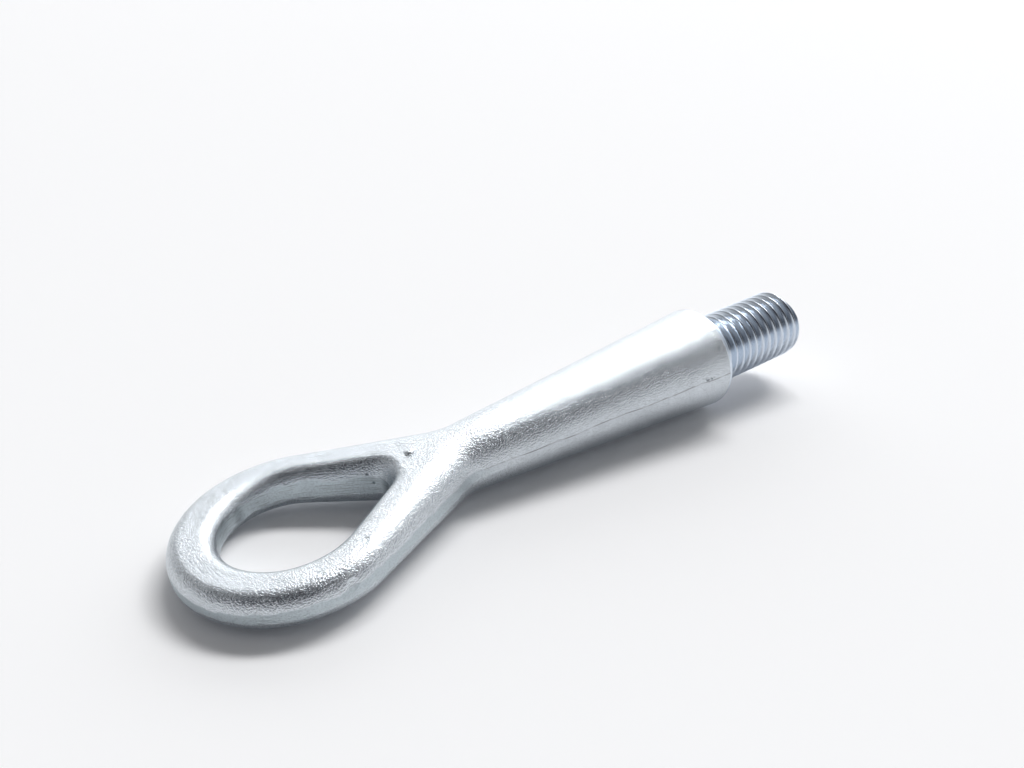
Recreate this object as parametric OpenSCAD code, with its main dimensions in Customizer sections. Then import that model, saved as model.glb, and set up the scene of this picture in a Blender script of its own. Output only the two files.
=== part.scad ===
// Screw-in tow eye for a car: one drop forging with a machined collar and a male thread.
// It lies on a flat surface, touching it at the collar and at the far end of the eye.
// Its own frame while it is built: +X along the shank to the thread's end, shoulder at x = 0,
// eye and die parting line in the XY plane. The last module lays it down.

/* [Thread] */
// Outer diameter of the thread
thread_d = 18; // [14:0.5:21]
// Pitch of the thread
thread_pitch = 2.5; // [1.5:0.25:3]
// Length from the shoulder to the end of the thread
thread_l = 30.6; // [20:0.2:45]
// Plain run-out between the shoulder and the first groove
runout_l = 2.5; // [2:0.5:8]
// Chamfer at the thread's end
thread_chamfer = 0.6; // [0.4:0.1:2]

/* [Collar] */
// Diameter of the machined collar
collar_d = 25.5; // [23:0.1:30]
// Length of the machined collar
collar_l = 1.2; // [1:0.1:6]
// Chamfer at the shoulder
shoulder_chamfer = 0.4; // [0.2:0.1:0.9]
// How far the forged skin stands proud of the machined collar
forged_step = 0.1; // [0.1:0.05:0.4]

/* [Shank] */
// Diameter of the shank at the neck
neck_d = 16; // [13:0.1:19]
// Distance from the shoulder to where the neck is measured
neck_x = 67.5; // [60:0.5:75]
// Radius of the hollow curve from the eye's flank into the shank
neck_r = 9.5; // [8:0.5:20]

/* [Eye] */
// Distance from the shoulder to the centre of the eye's wide end
eye_x = 111; // [106:0.5:125]
// Outer diameter of the eye's wide end
eye_d = 46; // [44:0.2:50]
// Inner diameter of the eye's wide end
hole_d = 26.8; // [24:0.2:30]
// Distance from the shoulder to the hole's narrow end
crotch_x = 89.4; // [88:0.2:93]
// Radius of the hole's narrow end
crotch_r = 4.4; // [2.5:0.1:5]
// Angle of the eye's straight flank to the shank
flank_a = 25.4; // [23:0.2:28]
// Thickness of the eye at its far end
eye_t = 8.3; // [7:0.1:11]
// Width of the rounded edges at the eye's far end
edge_w = 3.1; // [2:0.1:4]

/* [Hidden] */

eye_r = eye_d / 2;
hole_r = hole_d / 2;
eye_c = [-eye_x, 0];
crotch_c = [-crotch_x - crotch_r, 0];

// The forged shank is a cone from the neck to the collar
forged_r = collar_d / 2 + forged_step;
shank_slope = (forged_r - neck_d / 2) / (neck_x - collar_l);
function shank_r(x) = neck_d / 2 + (x + neck_x) * shank_slope;

// Outer outline: arc round the wide end, straight flank, hollow curve, shank
flank_n = [sin(flank_a), cos(flank_a)];
flank_from = eye_c + eye_r * flank_n;
shank_a = atan(shank_slope);
shank_n = [-sin(shank_a), cos(shank_a)];
shank_to = [-collar_l, forged_r];
neck_c = meet(flank_n, flank_n * flank_from + neck_r, shank_n, shank_n * shank_to + neck_r);
flank_to = neck_c - neck_r * flank_n;
shank_from = neck_c - neck_r * shank_n;

// Inner outline: arc round the wide end, straight side, arc at the narrow end
hole_reach = crotch_c[0] - eye_c[0];
hole_lean = (hole_r - crotch_r) / hole_reach;
hole_a = acos(hole_lean);
hole_n = [cos(hole_a), sin(hole_a)];
side_from = eye_c + hole_r * hole_n;
side_to = crotch_c + crotch_r * hole_n;

// Stations along the half outline, and points across it from the outer to the inner outline
arc_n = 22;
side_n = 8;
crotch_n = 8;
shank_n_out = 26;
limb_n = arc_n + side_n + crotch_n;
station_n = limb_n + shank_n_out;
across_n = 12;
// Past the hole, the stations grow apart by this power, so that they crowd at its narrow end
spread = 1.6;
// How far the flank runs ahead of the narrow end, so that the stations fan out round it
fan = 3.5;
// Length over which the points across change from the round bar to the round shank
across_blend = 12;

function meet(n1, d1, n2, d2) =
    let (det = n1[0] * n2[1] - n1[1] * n2[0])
    [(d1 * n2[1] - d2 * n1[1]) / det, (n1[0] * d2 - n2[0] * d1) / det];
function mix(a, b, t) = a + (b - a) * t;
function ease(t) = let (u = max(0, min(1, t))) u * u * (3 - 2 * u);
function on_circle(c, r, a) = c + r * [cos(a), sin(a)];
function on_flank(x) = mix(flank_from, flank_to, (x - flank_from[0]) / (flank_to[0] - flank_from[0]));

// Outer outline past the wide end, by distance run along it
flank_l = norm(flank_to - flank_from);
bend_l = neck_r * (flank_a + shank_a) * PI / 180;
shank_l = norm(shank_to - shank_from);
function past_eye(s) =
    s < flank_l ? mix(flank_from, flank_to, s / flank_l)
    : s < flank_l + bend_l ? on_circle(neck_c, neck_r, 270 - flank_a + (s - flank_l) / neck_r * 180 / PI)
    : mix(shank_from, shank_to, (s - flank_l - bend_l) / shank_l);

// Outer and inner end of each station
side_x = side_to[0] - crotch_r * 0.2;
fan_s = norm(on_flank(-crotch_x + fan) - flank_from);
run_l = flank_l + bend_l + shank_l;
function outer_at(i) =
    i <= arc_n ? on_circle(eye_c, eye_r, mix(180, 90 - flank_a, i / arc_n))
    : i <= arc_n + side_n ? on_flank(mix(flank_from[0], side_x, (i - arc_n) / side_n))
    : i <= limb_n ? on_flank(mix(side_x, -crotch_x + fan, (i - arc_n - side_n) / crotch_n))
    : past_eye(mix(fan_s, run_l, pow((i - limb_n) / shank_n_out, spread)));
function inner_at(i) =
    i <= arc_n ? on_circle(eye_c, hole_r, mix(180, hole_a, i / arc_n))
    : i <= arc_n + side_n ? mix(side_from, side_to, (i - arc_n) / side_n)
    : i <= limb_n ? on_circle(crotch_c, crotch_r, mix(hole_a, 0, (i - arc_n - side_n) / crotch_n))
    : [mix(-crotch_x, -collar_l, pow((i - limb_n) / shank_n_out, spread)), 0];

// Distance from a point of the metal to the outer outline
function to_segment(p, a, b) =
    let (ab = b - a, t = max(0, min(1, (p - a) * ab / (ab * ab))))
    norm(p - a - ab * t);
function to_outer(p) =
    let (e = p - eye_c, n = p - neck_c, na = atan2(n[0], -n[1]))
    min(
        atan2(e[1], e[0]) >= 90 - flank_a ? eye_r - norm(e) : eye_d,
        na >= -flank_a && na <= shank_a ? norm(n) - neck_r : eye_d,
        to_segment(p, flank_from, flank_to),
        to_segment(p, shank_from, shank_to));

// Distance from a point of the metal to the inner outline
function to_inner(p) =
    let (e = p - eye_c, k = e * [sin(hole_a), -cos(hole_a)])
    k < 0 ? norm(e) - hole_r
    : k > hole_reach * sin(hole_a) ? norm(p - crotch_c) - crotch_r
    : e * hole_n - hole_r;

// Half thickness of the forging, and the width of its rounded edges: both grow into the shank's cone
blend_l = 74;
function toward_shank(x) = ease((x + neck_x + blend_l) / blend_l);
function thick_at(x) = mix(eye_t / 2, shank_r(x), toward_shank(x));
function edge_at(x) = mix(edge_w, shank_r(x), toward_shank(x));
function quarter(d, w) = sqrt(max(0, 1 - pow(1 - min(1, max(0, d) / w), 2)));
function half_t(p) = thick_at(p[0]) * min(quarter(to_outer(p), edge_at(p[0])), quarter(to_inner(p), edge_w));

function across(i, j) =
    let (round_bar = (1 - cos(180 * j / across_n)) / 2, round_shank = 1 - cos(90 * j / across_n),
        w = ease((inner_at(i)[0] + crotch_x) / across_blend))
    i <= limb_n ? round_bar : mix(round_bar, round_shank, w);
function grid_point(i, j) =
    let (p = mix(outer_at(i), inner_at(i), across(i, j)),
        sealed = j == 0 || (j == across_n && i <= limb_n))
    [p[0], max(0, p[1]), sealed ? 0 : half_t(p)];

// Four copies of the quarter skin, left and right of the shank and above and below the parting
// line, with the points on the seams shared
function skin_index(side, sheet, i, j) =
    let (d = i == 0 || (j == across_n && i >= limb_n) ? 0 : side,
        s = j == 0 || (j == across_n && i <= limb_n) ? 0 : sheet)
    ((d * 2 + s) * (station_n + 1) + i) * (across_n + 1) + j;
function wound(tri, turn) = turn ? [tri[2], tri[1], tri[0]] : tri;

module forging() {
    quarter_skin = [for (i = [0:station_n], j = [0:across_n]) grid_point(i, j)];
    points = concat(
        [for (side = [1, -1], sheet = [1, -1], p = quarter_skin) [p[0], side * p[1], sheet * p[2]]],
        [[-collar_l, 0, 0]]);
    cap = len(points) - 1;
    skin = [for (side = [0, 1], sheet = [0, 1], i = [0:station_n - 1], j = [0:across_n - 1])
        let (a = skin_index(side, sheet, i, j), b = skin_index(side, sheet, i + 1, j),
            c = skin_index(side, sheet, i + 1, j + 1), d = skin_index(side, sheet, i, j + 1))
        each [wound([a, b, c], side != sheet), wound([a, c, d], side != sheet)]];
    cap_skin = [for (side = [0, 1], sheet = [0, 1], j = [0:across_n - 1])
        wound([skin_index(side, sheet, station_n, j), cap, skin_index(side, sheet, station_n, j + 1)],
            side != sheet)];
    polyhedron(points, concat(skin, cap_skin));
}

// Turned profile of the collar and thread, as [radius, x]. Its root is buried in the forging.
collar_r = collar_d / 2;
thread_r = thread_d / 2;
root_l = 8;
thread_depth = 0.5413 * thread_pitch;
groove_root = thread_pitch / 8;
groove_top = groove_root + thread_depth * tan(30);
groove_n = floor((thread_l - runout_l - thread_chamfer / 2) / thread_pitch);
function groove_x(k) = thread_l - thread_pitch * (groove_n - k - 0.5) - thread_chamfer / 2;

module collar_and_thread() {
    rotate([0, 90, 0]) rotate_extrude($fn = 96) polygon(concat(
        [[0, -collar_l - root_l], [collar_r - root_l / 4, -collar_l - root_l],
            [collar_r, -collar_l * 1.25], [collar_r, -shoulder_chamfer],
            [collar_r - shoulder_chamfer, 0], [thread_r, 0]],
        [for (k = [0:groove_n - 1]) let (x = groove_x(k), deep = thread_r - thread_depth)
            each [[thread_r, x - groove_top], [deep, x - groove_root], [deep, x + groove_root],
                [k == groove_n - 1 ? thread_r - thread_chamfer / 2 : thread_r, x + groove_top]]],
        [[thread_r - thread_chamfer, thread_l], [0, thread_l]]));
}

// Lying pose: the collar's forged edge and the far end of the eye touch the floor
bed_x = eye_x + eye_r - edge_w;
bed_t = thick_at(-bed_x);
bed_l = bed_x - collar_l;
lie_a = atan2(forged_r, bed_l) - asin(bed_t / norm([bed_l, forged_r]));
floor_drop = forged_r * cos(lie_a) + collar_l * sin(lie_a);
low_x = -bed_x * cos(lie_a) - norm([edge_w * cos(lie_a), bed_t * sin(lie_a)]);
high_x = thread_l * cos(lie_a) + (thread_r - thread_chamfer) * sin(lie_a);

module tow_eye() color([0.76, 0.78, 0.79])
    translate([-(low_x + high_x) / 2, 0, floor_drop]) rotate([0, -lie_a, 0]) {
        forging();
        collar_and_thread();
    }

tow_eye();
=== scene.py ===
# Screw-in tow eye lying on a white floor: metres, in the frame of the CAD model.
import math

import bmesh
import bpy
import numpy as np
from mathutils import Matrix, Vector, noise


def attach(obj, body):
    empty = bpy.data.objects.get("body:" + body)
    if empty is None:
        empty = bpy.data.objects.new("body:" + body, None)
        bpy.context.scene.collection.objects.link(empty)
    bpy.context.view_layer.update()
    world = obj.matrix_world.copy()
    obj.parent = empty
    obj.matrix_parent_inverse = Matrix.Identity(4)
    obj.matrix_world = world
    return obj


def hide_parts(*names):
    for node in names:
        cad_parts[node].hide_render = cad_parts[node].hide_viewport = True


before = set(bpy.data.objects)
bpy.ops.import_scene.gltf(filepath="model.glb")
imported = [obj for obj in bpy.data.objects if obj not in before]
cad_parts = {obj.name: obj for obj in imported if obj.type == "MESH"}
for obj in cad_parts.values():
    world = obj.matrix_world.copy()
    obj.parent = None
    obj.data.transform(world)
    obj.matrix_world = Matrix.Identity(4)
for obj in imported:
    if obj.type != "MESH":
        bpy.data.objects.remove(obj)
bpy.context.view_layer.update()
scene = bpy.context.scene
mm = 0.001


def hexColour(code):
    channels = [int(code[i:i + 2], 16) / 255 for i in (1, 3, 5)]
    return [c / 12.92 if c <= 0.04045 else ((c + 0.055) / 1.055) ** 2.4 for c in channels] + [1.0]


# A node given as an input is joined by its first output
def addNode(tree, kind, inputs=None, **settings):
    node = tree.nodes.new(kind)
    for name, value in settings.items():
        setattr(node, name, value)
    for key, value in (inputs or {}).items():
        if isinstance(value, bpy.types.Node):
            value = value.outputs[0]
        if isinstance(value, bpy.types.NodeSocket):
            tree.links.new(value, node.inputs[key])
        else:
            node.inputs[key].default_value = value
    return node


def newMaterial(name):
    material = bpy.data.materials.new(name)
    material.use_nodes = True
    material.node_tree.nodes.clear()
    return material, material.node_tree


# Camera: the photo's own angle, worked out from the outline of the shank, thread and eye
camera = dict(place=(-99.41, -130.92, 105.47), pitchDeg=27.41, headingDeg=35.27, focalPixels=830,
              photoPixels=1024, sensorMm=36)


def addCamera():
    data = bpy.data.cameras.new("photoCamera")
    data.sensor_width = camera["sensorMm"]
    data.lens = camera["sensorMm"] * camera["focalPixels"] / camera["photoPixels"]
    data.clip_start = 0.01
    item = bpy.data.objects.new("photoCamera", data)
    item.location = Vector(camera["place"]) * mm
    item.rotation_euler = (math.radians(90 - camera["pitchDeg"]), 0, math.radians(-camera["headingDeg"]))
    scene.collection.objects.link(item)
    scene.camera = item


addCamera()
print("camera placed")

# The forging's outline in its own plane, in mm: shoulder at x = 0, thread towards +X, die
# parting line at z = 0. The same values as in the CAD model.
forging = dict(
    wideX=-111.0, outerR=23.0, innerR=13.4, tipHalf=4.15, edgeWidth=3.1, taperRun=74.0,
    crotchX=-89.4, crotchR=4.4, flankDeg=25.4, filletR=9.5,
    neckX=-67.5, neckR=8.0, forgedEndX=-1.2, forgedEndR=12.85,
    collarR=12.75, shoulderChamfer=0.4,
    arcRows=72, sideRows=26, crotchRows=34, shankRows=120, rowSpread=1.6, crotchLead=0.2, crotchFan=3.5,
    webBlend=12.0, seamSteps=9, seamBand=0.09, faceSteps=26, mergeMm=0.0005, sharpDeg=28)


def meetLines(n1, d1, n2, d2):
    return np.linalg.solve(np.array([n1, n2]), np.array([d1, d2]))


def blendRise(t):
    t = np.clip(t, 0, 1)
    return t * t * (3 - 2 * t)


def circlePoints(centre, radius, degrees):
    turn = np.radians(degrees)
    return np.stack([centre[0] + radius * np.cos(turn), centre[1] + radius * np.sin(turn)], -1)


def outlineParts():
    f = forging
    wide, crotch = np.array([f["wideX"], 0.0]), np.array([f["crotchX"] - f["crotchR"], 0.0])
    flank = math.radians(f["flankDeg"])
    flankN = np.array([math.sin(flank), math.cos(flank)])
    slope = (f["forgedEndR"] - f["neckR"]) / (f["forgedEndX"] - f["neckX"])
    lean = math.atan(slope)
    shankN = np.array([-math.sin(lean), math.cos(lean)])
    flankFrom = wide + f["outerR"] * flankN
    shankTo = np.array([f["forgedEndX"], f["forgedEndR"]])
    neck = meetLines(flankN, flankN @ flankFrom + f["filletR"], shankN, shankN @ shankTo + f["filletR"])
    reach = crotch[0] - wide[0]
    holeDeg = math.degrees(math.acos((f["innerR"] - f["crotchR"]) / reach))
    return dict(wide=wide, crotch=crotch, flankN=flankN, slope=slope, lean=lean, shankN=shankN,
                flankFrom=flankFrom, flankTo=neck - f["filletR"] * flankN, neck=neck,
                shankFrom=neck - f["filletR"] * shankN, shankTo=shankTo, reach=reach, holeDeg=holeDeg)


def shankRadius(x, parts):
    return forging["neckR"] + (x - forging["neckX"]) * parts["slope"]


def outlineRows():
    f, o = forging, outlineParts()
    holeN = circlePoints((0, 0), 1, np.array([o["holeDeg"]]))[0]
    sideFrom, sideTo = o["wide"] + f["innerR"] * holeN, o["crotch"] + f["crotchR"] * holeN

    def onFlank(x):
        t = (x - o["flankFrom"][0]) / (o["flankTo"][0] - o["flankFrom"][0])
        return o["flankFrom"] + t[:, None] * (o["flankTo"] - o["flankFrom"])

    sideX = sideTo[0] - f["crotchLead"] * f["crotchR"]
    arc = np.arange(f["arcRows"]) / f["arcRows"]
    side = np.arange(f["sideRows"]) / f["sideRows"]
    end = np.arange(f["crotchRows"] + 1) / f["crotchRows"]
    run = (np.arange(1, f["shankRows"] + 1) / f["shankRows"]) ** f["rowSpread"]
    fanX = f["crotchX"] + f["crotchFan"]
    outer = [circlePoints(o["wide"], f["outerR"], 180 - arc * (90 + f["flankDeg"])),
             onFlank(o["flankFrom"][0] + side * (sideX - o["flankFrom"][0])),
             onFlank(sideX + end * (fanX - sideX))]
    inner = [circlePoints(o["wide"], f["innerR"], 180 - arc * (180 - o["holeDeg"])),
             sideFrom + side[:, None] * (sideTo - sideFrom),
             circlePoints(o["crotch"], f["crotchR"], o["holeDeg"] * (1 - end))]
    flankRun = np.linalg.norm(o["flankTo"] - outer[-1][-1])
    bendRun = f["filletR"] * (math.radians(f["flankDeg"]) + o["lean"])
    shankRun = np.linalg.norm(o["shankTo"] - o["shankFrom"])
    s = run * (flankRun + bendRun + shankRun)
    past = np.empty((len(s), 2))
    for k, at in enumerate(s):
        if at < flankRun:
            past[k] = outer[-1][-1] + (o["flankTo"] - outer[-1][-1]) * at / flankRun
        elif at < flankRun + bendRun:
            past[k] = circlePoints(o["neck"], f["filletR"],
                                   270 - f["flankDeg"] + math.degrees((at - flankRun) / f["filletR"]))
        else:
            past[k] = o["shankFrom"] + (o["shankTo"] - o["shankFrom"]) * (at - flankRun - bendRun) / shankRun
    outer.append(past)
    inner.append(np.stack([f["crotchX"] + run * (f["forgedEndX"] - f["crotchX"]), 0 * run], -1))
    return np.concatenate(outer), np.concatenate(inner)


def segmentDistance(p, a, b):
    t = np.clip((p - a) @ (b - a) / ((b - a) @ (b - a)), 0, 1)
    return np.linalg.norm(p - a - t[..., None] * (b - a), axis=-1)


def outerDistance(p):
    f, o = forging, outlineParts()
    fromWide, fromNeck = p - o["wide"], p - o["neck"]
    wideAngle = np.degrees(np.arctan2(fromWide[..., 1], fromWide[..., 0]))
    neckAngle = np.arctan2(fromNeck[..., 0], -fromNeck[..., 1])
    far = 4 * f["outerR"]
    inArc = wideAngle >= 90 - f["flankDeg"] - 1e-6
    onArc = np.where(inArc, f["outerR"] - np.linalg.norm(fromWide, axis=-1), far)
    inBend = (neckAngle >= -math.radians(f["flankDeg"])) & (neckAngle <= o["lean"])
    onBend = np.where(inBend, np.linalg.norm(fromNeck, axis=-1) - f["filletR"], far)
    return np.minimum.reduce([onArc, onBend, segmentDistance(p, o["flankFrom"], o["flankTo"]),
                              segmentDistance(p, o["shankFrom"], o["shankTo"])])


def innerDistance(p):
    f, o = forging, outlineParts()
    turn = math.radians(o["holeDeg"])
    fromWide = p - o["wide"]
    along = fromWide @ np.array([math.sin(turn), -math.cos(turn)])
    onSide = fromWide @ np.array([math.cos(turn), math.sin(turn)]) - f["innerR"]
    atCrotch = np.linalg.norm(p - o["crotch"], axis=-1) - f["crotchR"]
    atWide = np.linalg.norm(fromWide, axis=-1) - f["innerR"]
    return np.where(along < 0, atWide, np.where(along > o["reach"] * math.sin(turn), atCrotch, onSide))


def quarterRound(distance, width):
    return np.sqrt(np.clip(1 - (1 - np.clip(distance / width, 0, 1)) ** 2, 0, 1))


def towardShank(x, parts):
    t = blendRise((x - forging["neckX"] + forging["taperRun"]) / forging["taperRun"])
    return t, shankRadius(x, parts)


def halfThickness(p):
    f, o = forging, outlineParts()
    t, cone = towardShank(p[..., 0], o)
    thick, edge = f["tipHalf"] + t * (cone - f["tipHalf"]), f["edgeWidth"] + t * (cone - f["edgeWidth"])
    outerRound = quarterRound(outerDistance(p), edge)
    innerRound = quarterRound(innerDistance(p), f["edgeWidth"])
    return thick * np.minimum(outerRound, innerRound)


# Lying pose: the collar's forged edge and the far end of the eye touch the floor
def layDown():
    f, o = forging, outlineParts()
    bedX = f["wideX"] - f["outerR"] + f["edgeWidth"]
    t, cone = towardShank(bedX, o)
    bedHalf = f["tipHalf"] + t * (cone - f["tipHalf"])
    run = f["forgedEndX"] - bedX
    lie = math.atan2(f["forgedEndR"], run) - math.asin(bedHalf / math.hypot(run, f["forgedEndR"]))
    rise = f["forgedEndR"] * math.cos(lie) - f["forgedEndX"] * math.sin(lie)
    low = bedX * math.cos(lie) - math.hypot(f["edgeWidth"] * math.cos(lie), bedHalf * math.sin(lie))
    high = thread["length"] * math.cos(lie) + (thread["radius"] - thread["chamfer"]) * math.sin(lie)
    shift = Matrix.Translation((-(low + high) / 2 * mm, 0, rise * mm))
    return shift @ Matrix.Rotation(-lie, 4, "Y") @ Matrix.Scale(mm, 4), lie


# The thread in mm: inset is the part hidden in the shoulder, cap the part that closes each end
thread = dict(
    radius=9.0, pitch=2.5, depth=0.6134 * 2.5, length=30.6, chamfer=0.6,
    fadeStart=0.4, fadeLength=3.6, phase=0.14, inset=1.0, cap=0.5, softness=0.3, endSoftness=0.12,
    stepsPerPitch=30, around=128, mergeMm=0.001, sharpDeg=50)
placing, lieAngle = layDown()

# Marks left by the die and by the trimming of its flash, in mm. A wave is its length and its
# lane in the noise, and a dent runs from "at", to "to" where it is long
marks = dict(
    seed=Vector((3.1, 7.7, 1.9)), outerTrim=0.12, innerTrim=0.24, leastTrim=0.01,
    outerWave=(9, 1.5), innerWave=(5, 4.5), trimRun=(0, 60, 90, 150), trimShare=(1.0, 1.0, 0.4, 0.25),
    farFromTrim=50.0, farSideRun=300, seamFrom=-78, seamRun=14,
    wobble=0.07, wobbleLength=14.0, hammer=0.03, hammerLength=4.0, calmRun=6, calmGap=0.01,
    refineRounds=2, refineReach=1.4, refinePast=0.1, shortestEdge=0.2,
    dents=(dict(at=(-83.4, 0.9, 6.5), radius=1.2, height=0.55),
           dict(at=(-108.3, -22.4, 1.5), radius=1.3, height=-0.3),
           dict(at=(-102.2, -16.8, 4.9), to=(-105.7, -18.8, 4.6), radius=0.55, height=-0.12),
           dict(at=(-8.5, -12.3, 1.6), radius=0.42, height=-0.3),
           dict(at=(-7.3, -12.4, 1.6), radius=0.34, height=-0.25),
           dict(at=(-91.9, 4.5, 2.7), radius=0.30, height=-0.3),
           dict(at=(-91.0, 3.6, 0.6), radius=0.28, height=-0.3)))


def waveAlong(values, length, lane):
    return np.array([noise.noise(Vector((v / length, lane, 0)) + marks["seed"]) for v in values])


def forgingMesh():
    f = forging
    outer, inner = outlineRows()
    limbRows = f["arcRows"] + f["sideRows"] + f["crotchRows"]
    rows = len(outer)
    # closer steps near the parting line, where the section turns down steeply
    fine = np.linspace(0, f["seamBand"], f["seamSteps"])
    coarse = np.linspace(f["seamBand"], 1 - f["seamBand"], f["faceSteps"])[1:-1]
    u = np.concatenate([fine, coarse, 1 - fine[::-1]])
    last = len(u) - 1
    bar, shank = (1 - np.cos(np.pi * u)) / 2, 1 - np.cos(np.pi / 2 * u)
    weight = blendRise((inner[:, 0] - f["crotchX"]) / f["webBlend"])
    weight[:limbRows + 1] = 0
    across = bar + weight[:, None] * (shank - bar)
    span = inner - outer
    width = np.linalg.norm(span, axis=1)
    flat = outer[:, None] + across[..., None] * span[:, None]
    height = halfThickness(flat)

    run = np.concatenate([[0], np.cumsum(np.linalg.norm(np.diff(outer, axis=0), axis=1))])
    outerTrim = marks["outerTrim"] * (1 + waveAlong(run, *marks["outerWave"]))
    innerTrim = marks["innerTrim"] * (1 + waveAlong(run, *marks["innerWave"]))
    outerTrim = np.clip(outerTrim, marks["leastTrim"], 1)
    outerTrim *= np.interp(run, marks["trimRun"], marks["trimShare"])
    innerTrim[limbRows:] = 0
    low = (outerTrim / width)[:, None]
    high = 1 - (innerTrim / width)[:, None]
    trimmed = np.clip(across, low, np.maximum(high, 0.5))
    flat = outer[:, None] + trimmed[..., None] * span[:, None]
    edgeOuter = halfThickness(outer + low * span)
    edgeInner = halfThickness(outer + high * span)
    outerSide = (np.arange(last + 1)[None] < last / 2) | (np.arange(rows)[:, None] > limbRows)
    edge = np.where(outerSide, edgeOuter[:, None], edgeInner[:, None])
    along = np.broadcast_to(run[:, None], edge.shape)
    inside = np.where(outerSide, 0.0, 1.0)

    # the machined collar with its narrow edges, the chamfer and the flat of the shoulder: x and radius
    startX, r, cut = f["forgedEndX"], f["collarR"], f["shoulderChamfer"]
    rings = [(startX, f["forgedEndR"]), (startX + 0.12, r + 0.02), (startX + 0.3, r), (-cut - 0.06, r),
             (-cut + 0.03, r - 0.03), (-0.04, r - cut + 0.04), (0, r - cut - 0.06), (0, 10.0), (0, 0.0)]
    turned = rows
    ringFlat = np.array([[[x, radius * math.cos(math.pi / 2 * v)] for v in u] for x, radius in rings])
    ringHeight = np.array([[radius * math.sin(math.pi / 2 * v) for v in u] for x, radius in rings])
    flat = np.concatenate([flat, ringFlat])
    height = np.concatenate([height, ringHeight])
    edge = np.concatenate([edge, np.full((len(rings), last + 1), -marks["farFromTrim"])])
    along = np.concatenate([along, np.full((len(rings), last + 1), run[-1])])
    inside = np.concatenate([inside, np.zeros((len(rings), last + 1))])
    rows = len(flat)

    height[:, 0] = 0
    height[:limbRows + 1, last] = 0
    flat[0, :, 1] = 0
    flat[limbRows:, last, 1] = 0
    i, j = np.meshgrid(np.arange(rows), np.arange(last + 1), indexing="ij")

    def skinIndex(side, sheet, i, j):
        d = np.where((i == 0) | ((j == last) & (i >= limbRows)), 0, side)
        s = np.where((j == 0) | ((j == last) & (i <= limbRows)), 0, sheet)
        return ((d * 2 + s) * rows + i) * (last + 1) + j

    points, edges, runs, holeSide, quads = [], [], [], [], []
    a, b = i[:-1, :-1].ravel(), j[:-1, :-1].ravel()
    for side in (0, 1):
        for sheet in (0, 1):
            y, z = flat[..., 1] * (1 - 2 * side), height * (1 - 2 * sheet)
            points.append(np.stack([flat[..., 0], y, z], -1).reshape(-1, 3))
            edges.append(np.broadcast_to(edge, z.shape).ravel())
            runs.append(along.ravel() + marks["farSideRun"] * side)
            holeSide.append(inside.ravel())
            quad = [skinIndex(side, sheet, a, b), skinIndex(side, sheet, a + 1, b),
                    skinIndex(side, sheet, a + 1, b + 1), skinIndex(side, sheet, a, b + 1)]
            quads.append(np.stack(quad if side == sheet else quad[::-1], -1))
    points, edges, runs, holeSide, quads = map(np.concatenate, (points, edges, runs, holeSide, quads))
    used, compact = np.unique(quads, return_inverse=True)
    quads = compact.reshape(quads.shape)
    return points[used], edges[used], runs[used], holeSide[used], quads, np.tile(a, 4) >= turned


def awayFrom(p, spot):
    a = Vector(spot["at"])
    b = Vector(spot.get("to", spot["at"]))
    run = (b - a).length_squared
    t = min(1.0, max(0.0, (p - a).dot(b - a) / run)) if run else 0.0
    return (p - a - t * (b - a)).length


def dentLift(p):
    lift = 0.0
    for spot in marks["dents"]:
        away = awayFrom(p, spot) / spot["radius"]
        if away < 1:
            lift += spot["height"] * (1 - away * away) ** 0.5
    return lift


def refineAt(work, spot):
    reach = marks["refineReach"] * spot["radius"] + marks["refinePast"]
    for k in range(marks["refineRounds"]):
        near = [f for f in work.faces if awayFrom(f.calc_center_median(), spot) < reach]
        around = dict.fromkeys(e for f in near for e in f.edges)
        edges = [e for e in around if e.calc_length() > marks["shortestEdge"]]
        bmesh.ops.subdivide_edges(work, edges=edges, cuts=1, use_grid_fill=True)


def shapeForging():
    points, edges, runs, holeSide, quads, turnedFaces = forgingMesh()
    mesh = bpy.data.meshes.new("forging")
    mesh.from_pydata(points.tolist(), [], quads.tolist())
    mesh.polygons.foreach_set("material_index", turnedFaces.astype(np.int32))
    for name, values in (("trimUpper", points[:, 2] - edges), ("trimLower", points[:, 2] + edges),
                         ("runAlong", runs), ("heightMm", points[:, 2]), ("holeSide", holeSide),
                         ("seamShare", blendRise((points[:, 0] - marks["seamFrom"]) / marks["seamRun"]))):
        layer = mesh.attributes.new(name, "FLOAT", "POINT")
        layer.data.foreach_set("value", values.astype(np.float32))
    work = bmesh.new()
    work.from_mesh(mesh)
    bmesh.ops.remove_doubles(work, verts=work.verts, dist=forging["mergeMm"])
    bmesh.ops.recalc_face_normals(work, faces=work.faces)
    for spot in marks["dents"]:
        refineAt(work, spot)
    bmesh.ops.triangulate(work, faces=[f for f in work.faces if len(f.verts) > 4])
    work.normal_update()
    # the skin waves, and comes to rest before the machined collar
    moves = []
    for v in work.verts:
        calm = min(1.0, max(0.0, (forging["forgedEndX"] - marks["calmGap"] - v.co.x) / marks["calmRun"]))
        lift = calm * (marks["wobble"] * noise.noise(v.co / marks["wobbleLength"] + marks["seed"])
                       + marks["hammer"] * noise.noise(v.co / marks["hammerLength"]))
        moves.append((v, v.normal * (lift + dentLift(v.co))))
    for v, move in moves:
        v.co += move
    work.to_mesh(mesh)
    work.free()
    mesh.transform(placing)
    mesh.shade_smooth()
    mesh.set_sharp_from_angle(angle=math.radians(forging["sharpDeg"]))
    item = bpy.data.objects.new("forging", mesh)
    scene.collection.objects.link(item)
    return item


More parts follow.
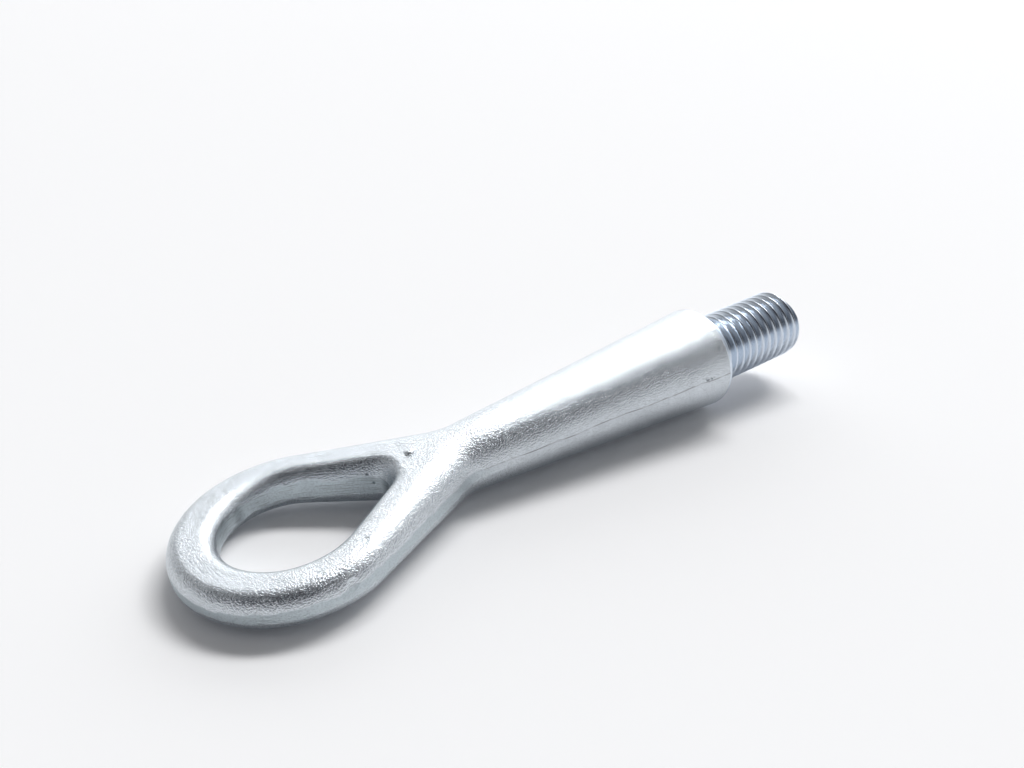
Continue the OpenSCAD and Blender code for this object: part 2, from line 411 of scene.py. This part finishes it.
# Zinc-plated drop forging, shot-blasted before plating: a bright bluish-white metal whose fine
# dimpled grain breaks every reflection into sparkling specks. The real grain is about 0.2 mm,
# too fine for the render, so it is drawn at 0.34 mm, as coarse as it needs to show
platedForging = dict(
    light="#DDE3E8", dull="#CED4DA", patchMm=3.0, roughness=0.27,
    grainMm=0.34, grainHeightMm=0.19, pit="#7E868E", pitFrom=0.52, pitTo=0.38, pitShare=0.28,
    land="#C2CDD2", landShare=0.8, landRougher=0.10, landEdgeMm=0.12, landRaggedMm=1.6,
    streakMm=0.24, streakLengthMm=6.0, streakHeightMm=0.06, grainUnderStreaks=0.4,
    # the dark colour next is painted shade along the land's upper edge on the shank, and also the real die
    # scoring on the hole's wall
    shadeLineAndScoringColour="#5E5B5A", scoreFrom=0.56, scoreTo=0.66, scoreShare=0.45,
    lineFrom=0.42, lineTo=0.58, lineThinMm=0.03, lineWideMm=0.12, lineShare=0.7)


def makePlatedForging():
    v = platedForging
    material, tree = newMaterial("zincPlatedForging")
    coords = addNode(tree, "ShaderNodeTexCoord").outputs["Object"]
    grain = addNode(tree, "ShaderNodeTexNoise", {"Vector": coords, "Scale": 1 / (v["grainMm"] * mm),
                                                 "Detail": 2.0, "Roughness": 0.6}).outputs["Fac"]
    patch = addNode(tree, "ShaderNodeTexNoise", {"Vector": coords, "Scale": 1 / (v["patchMm"] * mm),
                                                 "Detail": 3.0}).outputs["Fac"]
    upper = addNode(tree, "ShaderNodeAttribute", attribute_name="trimUpper").outputs["Fac"]
    lower = addNode(tree, "ShaderNodeAttribute", attribute_name="trimLower").outputs["Fac"]
    runAlong = addNode(tree, "ShaderNodeAttribute", attribute_name="runAlong").outputs["Fac"]
    heightMm = addNode(tree, "ShaderNodeAttribute", attribute_name="heightMm").outputs["Fac"]
    holeSide = addNode(tree, "ShaderNodeAttribute", attribute_name="holeSide").outputs["Fac"]
    onShank = addNode(tree, "ShaderNodeAttribute", attribute_name="seamShare").outputs["Fac"]

    # the flat left round the eye where the flash was trimmed, with ragged edges
    fromMean = addNode(tree, "ShaderNodeMath", {0: patch, 1: 0.5}, operation="SUBTRACT")
    ragged = addNode(tree, "ShaderNodeMath", {0: fromMean, 1: v["landRaggedMm"]}, operation="MULTIPLY")
    topEdge = addNode(tree, "ShaderNodeMath", {0: upper, 1: ragged}, operation="ADD")
    lowEdge = addNode(tree, "ShaderNodeMath", {0: lower, 1: ragged}, operation="ADD")
    belowTop = addNode(tree, "ShaderNodeMapRange", {"Value": topEdge, "From Min": v["landEdgeMm"],
                                                    "From Max": -v["landEdgeMm"]})
    aboveLow = addNode(tree, "ShaderNodeMapRange", {"Value": lowEdge, "From Min": -v["landEdgeMm"],
                                                    "From Max": v["landEdgeMm"]})
    offShank = addNode(tree, "ShaderNodeMath", {0: 1.0, 1: onShank}, operation="SUBTRACT")
    between = addNode(tree, "ShaderNodeMath", {0: belowTop, 1: aboveLow}, operation="MULTIPLY")
    land = addNode(tree, "ShaderNodeMath", {0: between, 1: offShank}, operation="MULTIPLY")

    # streaks that the trimming die drew along the hole's wall
    wall = addNode(tree, "ShaderNodeCombineXYZ", {"X": runAlong, "Y": heightMm})
    lane = addNode(tree, "ShaderNodeVectorMath", {0: wall, 1: (v["streakLengthMm"], v["streakMm"], 1.0)},
                   operation="DIVIDE")
    streak = addNode(tree, "ShaderNodeTexNoise", {"Vector": lane, "Scale": 1.0, "Detail": 2.0}).outputs["Fac"]
    drawn = addNode(tree, "ShaderNodeMath", {0: land, 1: holeSide}, operation="MULTIPLY")
    scored = addNode(tree, "ShaderNodeMapRange", {"Value": streak, "From Min": v["scoreFrom"],
                                                  "From Max": v["scoreTo"], "To Max": v["scoreShare"]})
    scoring = addNode(tree, "ShaderNodeMath", {0: scored, 1: drawn}, operation="MULTIPLY")

    # a broken dark line painted along the upper edge of the trimmed land on the shank, at the die's parting
    # line: painted shade at that edge, not a mark in the metal
    lineWidth = addNode(tree, "ShaderNodeMapRange", {"Value": patch, "From Min": v["lineFrom"],
                                                     "From Max": v["lineTo"], "To Min": v["lineThinMm"],
                                                     "To Max": v["lineWideMm"]})
    fromLine = addNode(tree, "ShaderNodeMath", {0: upper}, operation="ABSOLUTE")
    onLine = addNode(tree, "ShaderNodeMath", {0: fromLine, 1: lineWidth}, operation="LESS_THAN")
    line = addNode(tree, "ShaderNodeMath", {0: onLine, 1: onShank}, operation="MULTIPLY")
    paintedShadeLine = addNode(tree, "ShaderNodeMath", {0: line, 1: v["lineShare"]}, operation="MULTIPLY")
    shadeLineAndScoring = addNode(tree, "ShaderNodeMath", {0: paintedShadeLine, 1: scoring}, operation="MAXIMUM")

    landTint = addNode(tree, "ShaderNodeMath", {0: land, 1: v["landShare"]}, operation="MULTIPLY")
    pitted = addNode(tree, "ShaderNodeMapRange", {"Value": grain, "From Min": v["pitFrom"],
                                                  "From Max": v["pitTo"], "To Max": v["pitShare"]})
    colour = addNode(tree, "ShaderNodeMix", {0: patch, 6: hexColour(v["light"]), 7: hexColour(v["dull"])},
                     data_type="RGBA").outputs[2]
    # the last mix lays the dark colour on the painted shade line and on the real scoring
    for share, tint in ((landTint, v["land"]), (pitted, v["pit"]), (shadeLineAndScoring, v["shadeLineAndScoringColour"])):
        colour = addNode(tree, "ShaderNodeMix", {0: share, 6: colour, 7: hexColour(tint)},
                         data_type="RGBA").outputs[2]

    rough = addNode(tree, "ShaderNodeMath", {0: land, 1: v["landRougher"], 2: v["roughness"]},
                    operation="MULTIPLY_ADD")
    grainLeft = addNode(tree, "ShaderNodeMath", {0: drawn, 1: v["grainUnderStreaks"] - 1.0, 2: 1.0},
                        operation="MULTIPLY_ADD")
    grainLift = addNode(tree, "ShaderNodeMath", {0: grain, 1: v["grainHeightMm"]}, operation="MULTIPLY")
    grainPart = addNode(tree, "ShaderNodeMath", {0: grainLift, 1: grainLeft}, operation="MULTIPLY")
    streakLift = addNode(tree, "ShaderNodeMath", {0: streak, 1: v["streakHeightMm"]}, operation="MULTIPLY")
    height = addNode(tree, "ShaderNodeMath", {0: streakLift, 1: drawn, 2: grainPart},
                     operation="MULTIPLY_ADD")
    bump = addNode(tree, "ShaderNodeBump", {"Height": height, "Strength": 1.0, "Distance": mm})
    metal = addNode(tree, "ShaderNodeBsdfPrincipled", {"Base Color": colour, "Metallic": 1.0,
                                                       "Roughness": rough, "Normal": bump})
    addNode(tree, "ShaderNodeOutputMaterial", {"Surface": metal})
    return material


# Zinc-plated turned steel: smooth, so its reflections stay sharp, with faint rings from the tool
platedTurning = dict(colour="#D5DEE9", roughness=0.23, ringMm=0.22, ringHeightMm=0.004)


def makePlatedTurning():
    v = platedTurning
    material, tree = newMaterial("zincPlatedTurning")
    coords = addNode(tree, "ShaderNodeTexCoord").outputs["Object"]
    level = addNode(tree, "ShaderNodeMapping", {"Vector": coords, "Rotation": (0, lieAngle, 0)})
    along = addNode(tree, "ShaderNodeSeparateXYZ", {0: level}).outputs["X"]
    at = addNode(tree, "ShaderNodeMath", {0: along, 1: 1 / (v["ringMm"] * mm)}, operation="MULTIPLY")
    rings = addNode(tree, "ShaderNodeTexNoise", {"W": at, "Scale": 1.0, "Detail": 1.0}, noise_dimensions="1D")
    bump = addNode(tree, "ShaderNodeBump", {"Height": rings.outputs["Fac"], "Strength": 1.0,
                                            "Distance": v["ringHeightMm"] * mm})
    metal = addNode(tree, "ShaderNodeBsdfPrincipled", {"Base Color": hexColour(v["colour"]), "Metallic": 1.0,
                                                       "Roughness": v["roughness"], "Normal": bump})
    addNode(tree, "ShaderNodeOutputMaterial", {"Surface": metal})
    return material


forgedMetal, turnedMetal = makePlatedForging(), makePlatedTurning()
forgingPiece = shapeForging()
forgingPiece.data.materials.append(forgedMetal)
forgingPiece.data.materials.append(turnedMetal)
print("forging", len(forgingPiece.data.polygons), "faces")


# Left-hand thread: a tube whose radius follows the groove's form as it winds along
def threadTree():
    tree = bpy.data.node_groups.new("leftHandThread", "GeometryNodeTree")
    for name in ("Length", "Radius", "Pitch", "Depth", "Chamfer", "Fade Start", "Fade Length", "Phase",
                 "Inset", "Cap", "Softness", "End Softness", "Merge Distance"):
        tree.interface.new_socket(name, in_out="INPUT", socket_type="NodeSocketFloat")
    for name in ("Stations", "Around"):
        tree.interface.new_socket(name, in_out="INPUT", socket_type="NodeSocketInt")
    tree.interface.new_socket("Metal", in_out="INPUT", socket_type="NodeSocketMaterial")
    tree.interface.new_socket("Geometry", in_out="OUTPUT", socket_type="NodeSocketGeometry")
    given = addNode(tree, "NodeGroupInput").outputs

    # a flat grid, with X along the thread and Y round it, that reaches past both ends to close them
    hidden = addNode(tree, "ShaderNodeMath", {0: given["Inset"], 1: given["Cap"]}, operation="ADD")
    toEnd = addNode(tree, "ShaderNodeMath", {0: given["Length"], 1: hidden}, operation="ADD")
    size = addNode(tree, "ShaderNodeMath", {0: toEnd, 1: given["Cap"]}, operation="ADD")
    grid = addNode(tree, "GeometryNodeMeshGrid", {"Size X": size, "Size Y": 1.0,
                                                  "Vertices X": given["Stations"],
                                                  "Vertices Y": given["Around"]})
    spot = addNode(tree, "GeometryNodeInputPosition")
    place = addNode(tree, "ShaderNodeSeparateXYZ", {0: spot}).outputs
    halfSize = addNode(tree, "ShaderNodeMath", {0: size, 1: 0.5}, operation="MULTIPLY")
    fromStart = addNode(tree, "ShaderNodeMath", {0: place["X"], 1: halfSize}, operation="ADD")
    along = addNode(tree, "ShaderNodeMath", {0: fromStart, 1: hidden}, operation="SUBTRACT")
    start = addNode(tree, "ShaderNodeMath", {0: given["Inset"], 1: -1.0}, operation="MULTIPLY")
    fromInset = addNode(tree, "ShaderNodeMath", {0: along, 1: start}, operation="MAXIMUM")
    x = addNode(tree, "ShaderNodeMath", {0: fromInset, 1: given["Length"]}, operation="MINIMUM")
    pastEnd = addNode(tree, "ShaderNodeMath", {0: along, 1: x}, operation="SUBTRACT")
    past = addNode(tree, "ShaderNodeMath", {0: pastEnd}, operation="ABSOLUTE")
    closed = addNode(tree, "ShaderNodeMath", {0: past, 1: given["Cap"]}, operation="DIVIDE")
    closedShare = addNode(tree, "ShaderNodeMath", {0: closed, 1: 1.0}, operation="MINIMUM")
    closing = addNode(tree, "ShaderNodeMath", {0: 1.0, 1: closedShare}, operation="SUBTRACT")

    # the groove's 60 degree form: its flanks span 5/16 of the pitch, between a flat root an eighth
    # of it wide and a flat crest an eighth of it wide, both rounded
    turns = addNode(tree, "ShaderNodeMath", {0: x, 1: given["Pitch"]}, operation="DIVIDE")
    wound = addNode(tree, "ShaderNodeMath", {0: turns, 1: place["Y"]}, operation="ADD")
    winding = addNode(tree, "ShaderNodeMath", {0: wound, 1: given["Phase"]}, operation="ADD")
    share = addNode(tree, "ShaderNodeMath", {0: winding}, operation="FRACT")
    fromMiddle = addNode(tree, "ShaderNodeMath", {0: share, 1: 0.5}, operation="SUBTRACT")
    offset = addNode(tree, "ShaderNodeMath", {0: fromMiddle}, operation="ABSOLUTE")
    fromCrest = addNode(tree, "ShaderNodeMath", {0: 7 / 16, 1: offset}, operation="SUBTRACT")
    rise = addNode(tree, "ShaderNodeMath", {0: fromCrest, 1: 5 / 16}, operation="DIVIDE")
    roundRoot = addNode(tree, "ShaderNodeMath", {0: rise, 1: 1.0, 2: given["Softness"]},
                        operation="SMOOTH_MIN")
    groove = addNode(tree, "ShaderNodeMath", {0: roundRoot, 1: 0.0, 2: given["Softness"]},
                     operation="SMOOTH_MAX")

    # the first turns rise out of the plain run-out
    fadeEnd = addNode(tree, "ShaderNodeMath", {0: given["Fade Start"], 1: given["Fade Length"]},
                      operation="ADD")
    fade = addNode(tree, "ShaderNodeMapRange", {"Value": x, "From Min": given["Fade Start"],
                                                "From Max": fadeEnd}, interpolation_type="SMOOTHSTEP")
    shallow = addNode(tree, "ShaderNodeMath", {0: groove, 1: fade}, operation="MULTIPLY")
    cut = addNode(tree, "ShaderNodeMath", {0: shallow, 1: given["Depth"]}, operation="MULTIPLY")
    grooved = addNode(tree, "ShaderNodeMath", {0: given["Radius"], 1: cut}, operation="SUBTRACT")

    # the chamfer at the end
    endRadius = addNode(tree, "ShaderNodeMath", {0: given["Radius"], 1: given["Chamfer"]},
                        operation="SUBTRACT")
    beforeEnd = addNode(tree, "ShaderNodeMath", {0: given["Length"], 1: x}, operation="SUBTRACT")
    bevel = addNode(tree, "ShaderNodeMath", {0: endRadius, 1: beforeEnd}, operation="ADD")
    outer = addNode(tree, "ShaderNodeMath", {0: grooved, 1: bevel, 2: given["End Softness"]},
                    operation="SMOOTH_MIN")
    radius = addNode(tree, "ShaderNodeMath", {0: outer, 1: closing}, operation="MULTIPLY")

    turn = addNode(tree, "ShaderNodeMath", {0: place["Y"], 1: math.tau}, operation="MULTIPLY")
    across = addNode(tree, "ShaderNodeMath", {0: turn}, operation="COSINE")
    upward = addNode(tree, "ShaderNodeMath", {0: turn}, operation="SINE")
    y = addNode(tree, "ShaderNodeMath", {0: radius, 1: across}, operation="MULTIPLY")
    z = addNode(tree, "ShaderNodeMath", {0: radius, 1: upward}, operation="MULTIPLY")
    moved = addNode(tree, "ShaderNodeCombineXYZ", {"X": x, "Y": y, "Z": z})
    shaped = addNode(tree, "GeometryNodeSetPosition", {"Geometry": grid, "Position": moved})
    joined = addNode(tree, "GeometryNodeMergeByDistance", {"Geometry": shaped,
                                                           "Distance": given["Merge Distance"]})
    real = addNode(tree, "GeometryNodeRealizeInstances", {"Geometry": joined})
    done = addNode(tree, "GeometryNodeSetMaterial", {"Geometry": real, "Material": given["Metal"]})
    addNode(tree, "NodeGroupOutput", {"Geometry": done})
    return tree


def shapeThread():
    t = thread
    step = t["pitch"] / t["stepsPerPitch"]
    stations = round((t["length"] + t["inset"] + 2 * t["cap"]) / step) + 1
    values = {"Length": t["length"], "Radius": t["radius"], "Pitch": t["pitch"], "Depth": t["depth"],
              "Chamfer": t["chamfer"], "Fade Start": t["fadeStart"], "Fade Length": t["fadeLength"],
              "Phase": t["phase"], "Inset": t["inset"], "Cap": t["cap"], "Softness": t["softness"],
              "End Softness": t["endSoftness"], "Merge Distance": t["mergeMm"], "Stations": stations,
              "Around": t["around"] + 1, "Metal": turnedMetal}
    holder = bpy.data.objects.new("threadHolder", bpy.data.meshes.new("threadHolder"))
    scene.collection.objects.link(holder)
    modifier = holder.modifiers.new("thread", "NODES")
    modifier.node_group = threadTree()
    for socket in modifier.node_group.interface.items_tree:
        if socket.in_out == "INPUT":
            modifier[socket.identifier] = values[socket.name]
    graph = bpy.context.evaluated_depsgraph_get()
    mesh = bpy.data.meshes.new_from_object(holder.evaluated_get(graph), depsgraph=graph)
    bpy.data.objects.remove(holder)
    mesh.name = "thread"
    work = bmesh.new()
    work.from_mesh(mesh)
    bmesh.ops.recalc_face_normals(work, faces=work.faces)
    work.to_mesh(mesh)
    work.free()
    mesh.transform(placing)
    mesh.shade_smooth()
    mesh.set_sharp_from_angle(angle=math.radians(t["sharpDeg"]))
    item = bpy.data.objects.new("thread", mesh)
    scene.collection.objects.link(item)
    return item


threadPiece = shapeThread()
print("thread", len(threadPiece.data.polygons), "faces")

for piece in (forgingPiece, threadPiece):
    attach(piece, "root")
    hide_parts("tow_eye")

# Floor: a matt white board, so pale that only the shadow shows on it
floor = dict(size=40.0, colour="#FCFCFD", roughness=0.7, specular=0.2)


def addFloor():
    material, tree = newMaterial("mattWhiteBoard")
    board = addNode(tree, "ShaderNodeBsdfPrincipled", {"Base Color": hexColour(floor["colour"]),
                                                       "Roughness": floor["roughness"],
                                                       "Specular IOR Level": floor["specular"]})
    addNode(tree, "ShaderNodeOutputMaterial", {"Surface": board})
    half = floor["size"] / 2
    corners = [(-half, -half, 0), (half, -half, 0), (half, half, 0), (-half, half, 0)]
    mesh = bpy.data.meshes.new("floor")
    mesh.from_pydata(corners, [], [(0, 1, 2, 3)])
    mesh.materials.append(material)
    item = bpy.data.objects.new("floor", mesh)
    scene.collection.objects.link(item)


addFloor()

# Light: a row of soft lamps high behind on the right, in a pale room with a bright wall behind,
# a dim front side and a pale skirt at the horizon. Each level is a share of white, and each From
# and To, or Top and Full, is where that part starts and where it is full
lights = dict(
    lampsFrom=(0.70, 0.31, 1.0), rowAlong=(0.816, -0.577, 0.0), lampCount=5, spacingDeg=8.0,
    angleDeg=13.0, rowLevel=0.56,
    pale="#F6F7F8", dim="#D2D0EA", ceilingLevel=0.34, wallLevel=1.75, frontLevel=0.03, skirtLevel=0.88,
    front=(-0.577, -0.816, 0.0), frontFrom=0.20, frontTo=0.48,
    wallSide=(0.710, 0.704, 0.0), wallFrom=0.31, wallTo=0.80, wallTop=0.77, wallFull=0.50,
    skirtTop=0.24, skirtFull=0.17)


def addRoom():
    v = lights
    world = bpy.data.worlds.new("paleRoom")
    world.use_nodes = True
    tree = world.node_tree
    tree.nodes.clear()
    way = addNode(tree, "ShaderNodeTexCoord").outputs["Generated"]
    up = addNode(tree, "ShaderNodeSeparateXYZ", {0: way}).outputs["Z"]
    forward = addNode(tree, "ShaderNodeVectorMath", {0: way, 1: v["front"]},
                      operation="DOT_PRODUCT").outputs["Value"]
    back = addNode(tree, "ShaderNodeVectorMath", {0: way, 1: v["wallSide"]},
                   operation="DOT_PRODUCT").outputs["Value"]

    # how far each direction is in the dim front, on the bright wall and in the skirt
    dimShare = addNode(tree, "ShaderNodeMapRange",
                       {"Value": forward, "From Min": v["frontFrom"], "From Max": v["frontTo"]},
                       interpolation_type="SMOOTHSTEP")
    wallSideShare = addNode(tree, "ShaderNodeMapRange",
                            {"Value": back, "From Min": v["wallFrom"], "From Max": v["wallTo"]},
                            interpolation_type="SMOOTHSTEP")
    wallLowShare = addNode(tree, "ShaderNodeMapRange",
                           {"Value": up, "From Min": v["wallTop"], "From Max": v["wallFull"]},
                           interpolation_type="SMOOTHSTEP")
    wall = addNode(tree, "ShaderNodeMath", {0: wallSideShare, 1: wallLowShare}, operation="MULTIPLY")
    skirtShare = addNode(tree, "ShaderNodeMapRange",
                         {"Value": up, "From Min": v["skirtTop"], "From Max": v["skirtFull"]},
                         interpolation_type="SMOOTHSTEP")

    room = addNode(tree, "ShaderNodeMix", {0: wall, 2: v["ceilingLevel"], 3: v["wallLevel"]},
                   data_type="FLOAT")
    dimmed = addNode(tree, "ShaderNodeMix", {0: dimShare, 2: room, 3: v["frontLevel"]}, data_type="FLOAT")
    skirt = addNode(tree, "ShaderNodeMix", {0: wall, 2: v["skirtLevel"], 3: v["wallLevel"]},
                    data_type="FLOAT")
    level = addNode(tree, "ShaderNodeMix", {0: skirtShare, 2: dimmed, 3: skirt}, data_type="FLOAT")
    tintShare = addNode(tree, "ShaderNodeMix", {0: skirtShare, 2: dimShare, 3: 0.0}, data_type="FLOAT")
    tint = addNode(tree, "ShaderNodeMix", {0: tintShare, 6: hexColour(v["pale"]), 7: hexColour(v["dim"])},
                   data_type="RGBA").outputs[2]
    shade = addNode(tree, "ShaderNodeBackground", {"Color": tint, "Strength": level})
    addNode(tree, "ShaderNodeOutputWorld", {"Surface": shade})
    scene.world = world


def addLamps():
    v = lights
    middle = Vector(v["lampsFrom"]).normalized()
    for k in range(v["lampCount"]):
        turn = math.tan(math.radians((k - (v["lampCount"] - 1) / 2) * v["spacingDeg"]))
        way = (middle + turn * Vector(v["rowAlong"])).normalized()
        data = bpy.data.lights.new("softLamp%d" % (k + 1), "SUN")
        data.angle = math.radians(v["angleDeg"])
        # a white floor lit by the whole row alone would be as bright as the row's level
        data.energy = v["rowLevel"] * math.pi / way.z / v["lampCount"]
        item = bpy.data.objects.new(data.name, data)
        item.rotation_euler = way.to_track_quat("Z", "Y").to_euler()
        scene.collection.objects.link(item)


addRoom()
addLamps()
scene.view_settings.view_transform = "Standard"
print("floor and lights set")
